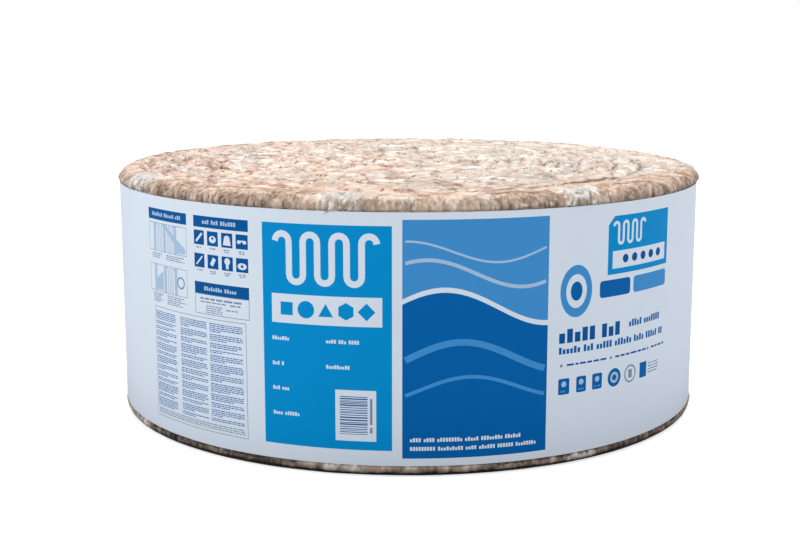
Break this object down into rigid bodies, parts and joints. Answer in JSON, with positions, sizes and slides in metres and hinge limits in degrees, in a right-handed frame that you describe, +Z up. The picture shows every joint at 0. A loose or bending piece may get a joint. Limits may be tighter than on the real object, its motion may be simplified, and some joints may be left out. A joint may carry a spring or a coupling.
{
  "type": "insulation roll",
  "caption": "Flat round roll of glass wool blanket standing on its end, held in a printed white film sleeve, with the spiral of its turns on both ends.",
  "frame": {"origin": "centre of the lower end, on the floor that the roll stands on", "axes": "+Z up along the roll's axis; -Y is the front, where the large printed panel is; +X is to the right seen from the front"},
  "size_m": [0.932, 0.932, 0.381],
  "materials": {
    "wool": "matt mineral fibre, tan with white and brown flecks",
    "film": "satin white polyethylene film, printed in blues"
  },
  "bodies": {
    "root": {"blanket_coil": "wool", "film_sleeve": "film"}
  },
  "joints": []
}
